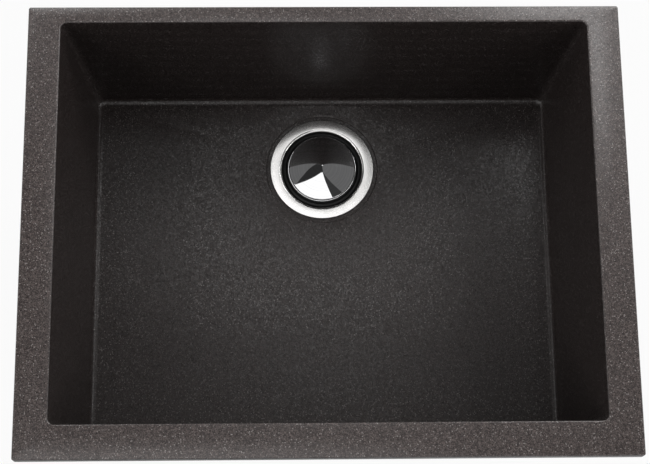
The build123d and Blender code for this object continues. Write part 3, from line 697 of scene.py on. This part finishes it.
# Cap's section: from the apex down a dome whose arc has its centre past the axis, round the rolled edge to
# the lip and the skirt, and back inside to the flat that carries the stem.
def capOutline():
    radius, rollR, rise, sheet, apexR = (cap[key] for key in ("radius", "rollR", "rise", "sheet", "apexR"))
    apexAngle, edgeAngle, rollEnd = (radians(angle) for angle in (*cap["slopes"], cap["rollEnd"]))
    rollX = radius - rollR
    domeR = (rollX + rollR * sin(edgeAngle)) / (sin(edgeAngle) - sin(apexAngle))
    domeX, domeZ = -domeR * sin(apexAngle), rise + (rollR - domeR) * cos(edgeAngle)
    dome = arcPoints(domeX, domeZ, domeR, np.linspace(apexAngle, edgeAngle, cap["domeSteps"]))
    # The point is eased to a small radius, tangent to the dome
    eased = dome[:, 0] < apexR * sin(apexAngle)
    startX, startZ = dome[~eased][0]
    dome[eased, 1] = startZ + np.sqrt(apexR**2 - dome[eased, 0] ** 2) - sqrt(apexR**2 - startX**2)
    # The rolled edge tightens and ends in a narrow flat lip with a rounded corner
    roll = np.linspace(edgeAngle, rollEnd, cap["rollSteps"])[1:]
    endR = (radius - cap["lipWidth"] - rollX) / sin(rollEnd)
    share = (roll - edgeAngle) / (rollEnd - edgeAngle)
    edge = arcPoints(rollX, rise, rollR + (endR - rollR) * share**2, roll)
    lipX, lipZ, lipR = edge[-1, 0] + cap["lipStep"][0], edge[-1, 1] - cap["lipStep"][1], cap["lipEdgeR"]
    lip = arcPoints(radius - lipR, lipZ - lipR, lipR, np.linspace(0, pi / 2, cap["lipSteps"]))
    # Inside, a sheet's thickness away
    skirtZ, chamfer = rise - cap["skirt"], cap["skirtChamfer"]
    skirt = [(radius, skirtZ + chamfer), (radius - chamfer, skirtZ), (radius - sheet, skirtZ)]
    innerAngles = np.linspace(pi / 2, edgeAngle, cap["rollSteps"])[:-1]
    innerRoll = arcPoints(rollX, rise, rollR - sheet, innerAngles)
    padSlope = np.arcsin((cap["padR"] - domeX) / (domeR - sheet))
    underAngles = np.linspace(edgeAngle, padSlope, cap["underSteps"])
    under = arcPoints(domeX, domeZ, domeR - sheet, underAngles)
    return np.concatenate([dome, edge, [(lipX, lipZ)], lip, skirt, innerRoll, under, [(0, under[-1, 1])]])


fit(turned("polishedCap", capOutline(), cap["steps"], closed=False), "stopper_cap", "basket")

seal = {
    "radius": 43.3, "innerR": 38.4, "plateR": 40.0, "top": -2.3, "plate": (-3.0, -5.0), "foot": -6.3,
    "beadR": 2.0, "beadHeight": 1.0, "beadSteps": 24, "bends": [0.25, 0.2, 0, 0, 0.2, 0.4, 0.6],
    "steps": 180,
}


# Seal's section: a ring with a groove for the plate's edge, and a bead whose arc ends in its outer wall.
def sealOutline():
    radius, innerR, plateR, beadR = (seal[key] for key in ("radius", "innerR", "plateR", "beadR"))
    top, foot, (plateTop, plateFoot) = seal["top"], seal["foot"], seal["plate"]
    rise = beadR - seal["beadHeight"]
    angles = np.linspace(pi / 2, np.arcsin(rise / beadR) - pi / 2, seal["beadSteps"])
    bead = arcPoints(radius - beadR, top - rise, beadR, angles)
    corners = [
        (innerR, top), (innerR, plateTop), (plateR, plateTop), (plateR, plateFoot), (innerR, plateFoot),
        (innerR, foot), (radius, foot),
    ]
    return np.concatenate([bead, roundedOutline(corners, seal["bends"])])


fit(turned("rubberSeal", sealOutline(), seal["steps"]), "stopper_seal", "basket")

locknut = {
    "bore": 42.5, "radius": 49.5, "flange": (53.5, 3.0), "top": -15.1, "height": 12.0,
    "bends": [0.5, 0.8, 0.8, 1.2, 0.8, 0.5],
    "lugs": 6, "lugR": 57.0, "lugWidth": 12.0, "lugEase": 2.2, "steps": 480,
}


# Locknut: a flanged ring whose outer rows reach out to the lugs. A lug's side is a smooth step across its
# edge, three times its square less twice its cube.
def locknutPiece():
    top, bore, radius = locknut["top"], locknut["bore"], locknut["radius"]
    foot, (flangeR, flangeHeight) = top - locknut["height"], locknut["flange"]
    corners = [
        (bore, top), (flangeR, top), (flangeR, top - flangeHeight), (radius, top - flangeHeight),
        (radius, foot), (bore, foot),
    ]

    def swell(radii, heights, angles):
        reach = np.clip(locknut["lugR"] - radii, locknut["lugR"] - flangeR, locknut["lugR"] - radius)
        away = fromLug(angles, locknut["lugs"]) * radius - locknut["lugWidth"] / 2
        step = np.clip(0.5 - away / locknut["lugEase"], 0, 1)
        return reach * step**2 * (3 - 2 * step) * (radii > (bore + radius) / 2)

    return turned("lockNut", roundedOutline(corners, locknut["bends"]), locknut["steps"], swell=swell)


fit(locknutPiece(), "locknut", "root")

slipNut = {
    "bore": 23.6, "radius": 27.0, "top": -56.7, "foot": -76.7,
    "floor": 3.0, "floorBore": 20.35, "chamfer": 1.2,
    "bends": [0.4, 1.0, 0.4, 0.3, 0.3, 0.3, 0.3], "rowGap": 1.2, "lugs": 6, "lugR": 3.2,
    "grooves": 60, "grooveDepth": 0.25, "grooveEnds": (2.5, 3.5), "steps": 480,
}


# Coupling nut: round lobes, each a circle centred on the nut's outside, with fine grip grooves between them.
def slipNutPiece():
    bore, radius, top, foot, chamfer = (slipNut[key] for key in ("bore", "radius", "top", "foot", "chamfer"))
    floorBore, floorTop = slipNut["floorBore"], foot + slipNut["floor"]
    corners = [
        (bore, top), (radius, top), (radius, foot + chamfer), (radius - chamfer, foot), (floorBore, foot),
        (floorBore, floorTop), (bore, floorTop),
    ]
    outline = divided(roundedOutline(corners, slipNut["bends"]), radius, slipNut["rowGap"])

    def swell(radii, heights, angles):
        away = fromLug(angles, slipNut["lugs"])
        inside = slipNut["lugR"] ** 2 - (radius * np.sin(away)) ** 2
        reach = radius * np.cos(away) + np.sqrt(np.clip(inside, 0, None)) - radius
        lobe = np.where(inside > 0, reach, 0).clip(0)
        topEnd, footEnd = slipNut["grooveEnds"]
        middle = np.clip(np.minimum(top - topEnd - heights, heights - foot - footEnd), 0, 1)
        groove = (0.5 - 0.5 * np.cos(slipNut["grooves"] * angles)) * slipNut["grooveDepth"] * (lobe <= 0)
        return (lobe - groove * middle) * (radii > (bore + radius) / 2)

    return turned("couplingNut", outline, slipNut["steps"], swell=swell)


fit(slipNutPiece(), "coupling_nut", "root")

# Rings and tubes about the drain: what each stands for, its body, corners, bends and columns
rings = {
    "flangeGasket": (
        "flange_gasket", "root", [(47.8, -0.9), (56.15, -0.9), (56.15, -2.1), (47.8, -2.1)], 0.4, 180,
    ),
    "rubberGasket": (
        "under_gasket", "root", [(42.7, -11.1), (57.0, -11.1), (57.0, -14.1), (42.7, -14.1)], 0.7, 180,
    ),
    "slipRing": (
        "friction_ring", "root", [(42.7, -14.1), (55.0, -14.1), (55.0, -15.1), (42.7, -15.1)], 0.15, 180,
    ),
    "outletWasher": (
        "tailpiece_washer", "root", [(18.35, -70), (23.5, -70), (23.5, -72.5), (18.35, -72.5)], 0.5, 128,
    ),
    "outletTube": (
        "tailpiece", "root",
        [(18.05, -72.5), (23.2, -72.5), (23.2, -73.7), (19.05, -73.7), (19.05, -172.5), (18.05, -172.5)],
        [0.3, 0.4, 0.4, 1.0, 0.4, 0.4], 180,
    ),
    "spacerTube": ("spacer_tube", "basket", [(3.1, -5), (5.5, -5), (5.5, -37), (3.1, -37)], 0.3, 64),
    "basketWasher": ("cup_washer", "basket", [(3.1, -37.8), (8.0, -37.8), (8.0, -39), (3.1, -39)], 0.3, 96),
}
for name, (nodeName, body, corners, bends, steps) in rings.items():
    fit(turned(name, roundedOutline(corners, bends), steps), nodeName, body)

insert = {
    "radius": 4.5, "length": 8.0, "bore": 2.5, "boreDepth": 6.8, "chamfer": 0.5, "footChamfer": 0.2,
    "pitch": 1.0, "threadDepth": 0.4, "rowsPerPitch": 6, "knurls": 24, "knurlDepth": 0.15, "steps": 96,
}


# Brass inserts: knurled outside by a cosine wave round the wall, with a thread cut in the bore. All six are
# one piece.
def insertPiece():
    radius, length, bore, depth = (insert[key] for key in ("radius", "length", "bore", "boreDepth"))
    chamfer, footChamfer, pitch = insert["chamfer"], insert["footChamfer"], insert["pitch"]
    outline = np.array([
        (0, depth), (bore, depth), (bore, chamfer), (bore + chamfer, 0), (radius - footChamfer, 0),
        (radius, footChamfer), (radius, length), (0, length),
    ])
    cut = thread(bore, depth + pitch, chamfer, pitch, insert["threadDepth"])

    def swell(radii, heights, angles):
        knurl = (0.5 - 0.5 * np.cos(insert["knurls"] * angles)) * insert["knurlDepth"]
        return cut(radii, heights, angles) - knurl * (radii > radius - footChamfer / 2)

    return turned(
        "brassInserts", divided(outline, bore, pitch / insert["rowsPerPitch"]), insert["steps"], closed=False,
        swell=swell, middle=(0, 0, -rimThickness), places=insertPlaces(),
    )


fit(insertPiece(), "rim_inserts", "root")

# Camera: where the photograph was taken from, found from the rim's corners and the drain, and its framing.
view = {
    "place": (-39.2, -433.7, 1514.0), "heading": 4.364, "down": 74.937, "roll": 3.909,
    "focalPixels": 1605.2, "frame": (650.0, 464.0), "centrePixel": (318.9, 250.7), "sensor": 36.0,
    "clip": (0.01, 50.0),
}


def cameraPiece():
    heading, down, roll = (radians(view[key]) for key in ("heading", "down", "roll"))
    ahead = Vector((sin(heading) * cos(down), cos(heading) * cos(down), -sin(down)))
    right = ahead.cross(Vector((0, 0, 1))).normalized()
    up = right.cross(ahead)
    rolledRight = right * cos(roll) + up * sin(roll)
    rolledUp = up * cos(roll) - right * sin(roll)
    data = bpy.data.cameras.new("camera")
    width, height = view["frame"]
    data.sensor_width = view["sensor"]
    data.lens = view["focalPixels"] * view["sensor"] / width
    data.shift_x = (width / 2 - view["centrePixel"][0]) / width
    data.shift_y = (view["centrePixel"][1] - height / 2) / width
    data.clip_start, data.clip_end = view["clip"]
    camera = bpy.data.objects.new("camera", data)
    axes = Matrix((rolledRight, rolledUp, -ahead)).transposed()
    camera.matrix_world = Matrix.Translation(Vector(view["place"]) * mm) @ axes.to_4x4()
    bpy.context.scene.collection.objects.link(camera)
    bpy.context.scene.camera = camera


cameraPiece()

# Lamps: where each stands, what it faces, its turn about that line, its width and height, and its radiance.
lamps = {
    "overhead": ((-0.028, 0.495, 1.5), (-0.028, 0.4951, 0.0), -30.0, (0.56, 0.42), 1.65),
    "top": ((-0.1, -0.1, 2.2), (-0.1, -0.0999, 0.0), 0.0, (1.0, 0.8), 0.3),
    "left high": ((-2.3, 0.6, 1.7), (0.0, 0.0, 0.0), 0.0, (1.0, 1.0), 2.0),
    "left back": ((-1.5, 1.6, 1.8), (0.0, 0.0, 0.0), 0.0, (1.0, 0.8), 2.5),
    "right back": ((1.5, 1.5, 1.8), (0.0, 0.0, 0.0), 0.0, (1.0, 0.8), 8.5),
    "right high": ((2.4, 0.6, 1.7), (0.0, 0.0, 0.0), 0.0, (1.0, 1.0), 2.5),
    "left front": ((-1.6, -1.4, 1.8), (0.0, 0.0, 0.0), 0.0, (1.0, 0.8), 5.0),
    "right front": ((1.6, -1.4, 1.8), (0.0, 0.0, 0.0), 0.0, (1.0, 0.8), 4.0),
    "left low": ((-2.2, -0.5, 1.0), (0.0, 0.0, 0.0), 0.0, (0.9, 0.8), 5.5),
    "right low": ((2.2, -0.5, 1.0), (0.0, 0.0, 0.0), 0.0, (0.9, 0.8), 6.5),
}
scene = bpy.context.scene
for name, (place, target, turn, size, radiance) in lamps.items():
    data = bpy.data.lights.new(name, "AREA")
    data.shape, data.size, data.size_y = "RECTANGLE", *size
    data.energy = radiance * pi * size[0] * size[1]
    lamp = bpy.data.objects.new(name, data)
    aim = (Vector(target) - Vector(place)).to_track_quat("-Z", "Y").to_matrix().to_4x4()
    lamp.matrix_world = Matrix.Translation(place) @ aim @ Matrix.Rotation(radians(turn), 4, "Z")
    lamp.visible_camera = False
    scene.collection.objects.link(lamp)
print("camera and", len(lamps), "lamps set")

# Studio ceiling, which only the reflections see: a grey sheet that hides the high lamps, and under it dark
# sheets and white cards. Each has its height, its radiance and its corners.
ceiling = {
    "ceiling": (1.65, 0.15, [(-5, -5), (5, -5), (5, 5), (-5, 5)]),
    "drape": (
        1.6, 0.03,
        [(-0.73, 1.02), (-1.1, 0.23), (-1.34, -0.09), (0.13, -0.09), (0.13, 0.19), (0.5, 0.35), (0.5, 1.02)],
    ),
    "white card": (1.55, 1.36, [(-1.57, -0.95), (0.65, -0.95), (0.1, -0.1), (-1.57, -0.12)]),
    "front card": (1.56, 1.0, [(-2.6, -3.2), (2.6, -3.2), (2.6, -1.15), (-2.6, -1.15)]),
    "right back card": (
        1.57, 4.8, [(0.42, 0.66), (0.62, 0.6), (0.64, 1.12), (1.6, 1.12), (1.6, 1.9), (0.36, 1.9)],
    ),
    "left back card": (1.57, 5.0, [(-1.7, 1.12), (-0.4, 1.12), (-0.4, 1.9), (-1.7, 1.9)]),
    "back haze": (1.59, 0.13, [(-0.35, 0.74), (0.4, 0.74), (0.4, 1.0), (-0.35, 1.0)]),
    "dark strip": (1.545, 0.045, [(0.1, -0.1), (0.66, -0.95), (1.5, -0.75), (0.17, -0.09)]),
}
# Most radiance of a sheet in a reflection's reflection, so that the cap throws no patches on the bowl's walls
laterShine = 0.15
for name, (height, radiance, corners) in ceiling.items():
    paint = bpy.data.materials.new(name)
    paint.use_nodes = True
    tree = paint.node_tree
    tree.nodes.remove(tree.nodes["Principled BSDF"])
    rayDepth = add(tree, "ShaderNodeLightPath").outputs["Ray Depth"]
    shine = {"Value": rayDepth, "From Min": 1.0, "From Max": 2.0, "To Min": radiance}
    shine["To Max"] = min(radiance, laterShine)
    glow = add(tree, "ShaderNodeEmission", {"Strength": add(tree, "ShaderNodeMapRange", shine).outputs[0]})
    tree.links.new(glow.outputs[0], tree.nodes["Material Output"].inputs["Surface"])
    mesh = bpy.data.meshes.new(name)
    mesh.from_pydata([(x, y, height) for x, y in corners], [], [tuple(range(len(corners)))])
    mesh.materials.append(paint)
    sheet = bpy.data.objects.new(name, mesh)
    sheet.visible_camera = sheet.visible_diffuse = sheet.visible_shadow = sheet.visible_volume_scatter = False
    scene.collection.objects.link(sheet)

# White behind the object for the camera and for reflections, and a faint even light for matt surfaces
evenLight = 0.08
scene.view_settings.view_transform = "Standard"
scene.world = bpy.data.worlds.new("studio")
scene.world.use_nodes = True
tree = scene.world.node_tree
matt = add(tree, "ShaderNodeLightPath").outputs["Is Diffuse Ray"]
background = tree.nodes["Background"].inputs
background["Color"].default_value = (1, 1, 1, 1)
tree.links.new(maths(tree, "MULTIPLY_ADD", matt, evenLight - 1, 1.0), background["Strength"])

floorLook = {
    "size": 12.0, "gap": 0.0005, "color": (0.85, 0.85, 0.85, 1), "roughness": 0.9,
    "white": (0.93, 1.0), "fade": (0.9, 2.6),  # shares of plain white, and the metres out where they hold
}


# Floor, just under the object's foot. It shows its shadows near the object and is plain white further out.
# What looks from below sees through it.
def floorPiece():
    half, floorZ = floorLook["size"] / 2, cadBox[0].z - floorLook["gap"]
    corners = [(-half, -half, floorZ), (half, -half, floorZ), (half, half, floorZ), (-half, half, floorZ)]
    mesh = bpy.data.meshes.new("floor")
    mesh.from_pydata(corners, [], [(0, 1, 2, 3)])
    paint = bpy.data.materials.new("pale floor")
    paint.use_nodes = True
    tree = paint.node_tree
    shader = tree.nodes["Principled BSDF"]
    shader.inputs["Base Color"].default_value = floorLook["color"]
    shader.inputs["Roughness"].default_value = floorLook["roughness"]
    shader.inputs["Specular IOR Level"].default_value = 0.0
    rays = add(tree, "ShaderNodeLightPath").outputs
    place = add(tree, "ShaderNodeTexCoord").outputs["Object"]
    away = add(tree, "ShaderNodeVectorMath", {0: place}, operation="LENGTH").outputs["Value"]
    (near, far), (white, whitest) = floorLook["fade"], floorLook["white"]
    fade = {"Value": away, "From Min": near, "From Max": far, "To Min": white, "To Max": whitest}
    seen = maths(tree, "MAXIMUM", rays["Is Camera Ray"], rays["Is Transmission Ray"])
    share = maths(tree, "MULTIPLY", seen, add(tree, "ShaderNodeMapRange", fade).outputs[0])
    glow = add(tree, "ShaderNodeEmission", {"Color": (1, 1, 1, 1), "Strength": 1.0}).outputs[0]
    fromAbove = add(tree, "ShaderNodeMixShader", {0: share, 1: shader.outputs[0], 2: glow}).outputs[0]
    behind = add(tree, "ShaderNodeNewGeometry").outputs["Backfacing"]
    below = maths(tree, "MAXIMUM", behind, rays["Transparent Depth"])
    clear = add(tree, "ShaderNodeBsdfTransparent").outputs[0]
    whole = add(tree, "ShaderNodeMixShader", {0: below, 1: fromAbove, 2: clear})
    tree.links.new(whole.outputs[0], tree.nodes["Material Output"].inputs["Surface"])
    mesh.materials.append(paint)
    floor = bpy.data.objects.new("floor", mesh)
    scene.collection.objects.link(floor)


floorPiece()
print("stage set")
